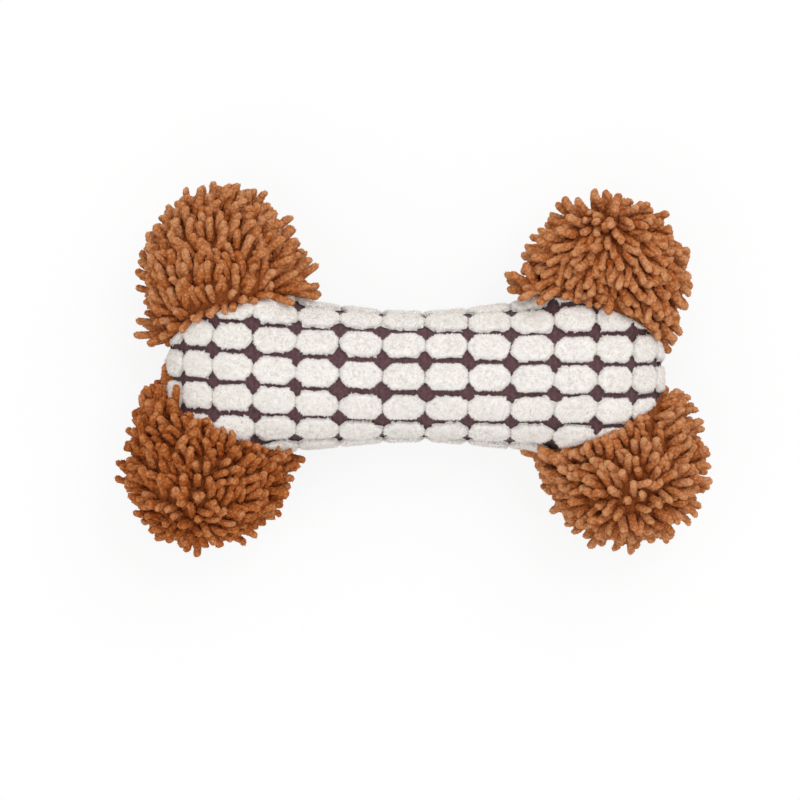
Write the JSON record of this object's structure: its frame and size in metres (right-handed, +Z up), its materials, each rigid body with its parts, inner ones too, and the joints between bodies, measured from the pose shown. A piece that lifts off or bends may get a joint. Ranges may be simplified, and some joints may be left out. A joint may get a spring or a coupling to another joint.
{
  "type": "squeaky dog toy",
  "caption": "Stuffed bone-shaped dog toy: tufted cream plush body, brown chenille noodle knobs, and a bellows squeaker with a reed sewn into its waist.",
  "frame": {"origin": "under the middle of the toy's bounding box, on the surface that it lies on", "axes": "+X along the bone, to the right in the picture; +Y across the bone, up in the picture; +Z up, out of the tufted front panel towards the viewer of the picture"},
  "size_m": [0.1898, 0.1171, 0.0525],
  "materials": {
    "plush": "matte tufted pile",
    "chenille": "matte chenille pile",
    "fibre_fill": "matte loose fibre",
    "thread": "matte thread",
    "polythene": "satin",
    "whistle_plastic": "satin",
    "reed_film": "satin"
  },
  "bodies": {
    "toy": {"front_panel": "plush", "back_panel": "plush", "chenille_cap_upper_left": "chenille", "chenille_cap_upper_right": "chenille", "chenille_cap_lower_left": "chenille", "chenille_cap_lower_right": "chenille", "knob_fill_upper_left": "fibre_fill", "knob_fill_upper_right": "fibre_fill", "knob_fill_lower_left": "fibre_fill", "knob_fill_lower_right": "fibre_fill", "middle_fill_front": "fibre_fill", "middle_fill_back": "fibre_fill", "cap_seam_thread_upper_left": "thread", "cap_seam_thread_upper_right": "thread", "cap_seam_thread_lower_left": "thread", "cap_seam_thread_lower_right": "thread", "waist_seam_thread_upper": "thread", "waist_seam_thread_lower": "thread", "end_seam_thread_left": "thread", "end_seam_thread_right": "thread", "squeaker_base": "polythene", "squeaker_bellows": "polythene", "whistle_tube": "whistle_plastic", "reed_seat": "whistle_plastic", "reed_wedge": "whistle_plastic"},
    "press_cap": {"squeaker_press_cap": "polythene"},
    "reed_tongue": {"reed": "reed_film"}
  },
  "joints": [
    {"name": "squeaker_press", "type": "slide", "parent": "toy", "child": "press_cap", "axis": [0, 0, -1], "range_m": [0, 0.009], "stiffness_N_per_m": 600, "deforming": ["squeaker_bellows"]},
    {"name": "reed_flutter", "type": "hinge", "parent": "toy", "child": "reed_tongue", "pos_m": [0, -0.002, 0.01505], "axis": [1, 0, 0], "range_deg": [-4, 4], "stiffness_Nm_per_rad": 0.0005}
  ]
}
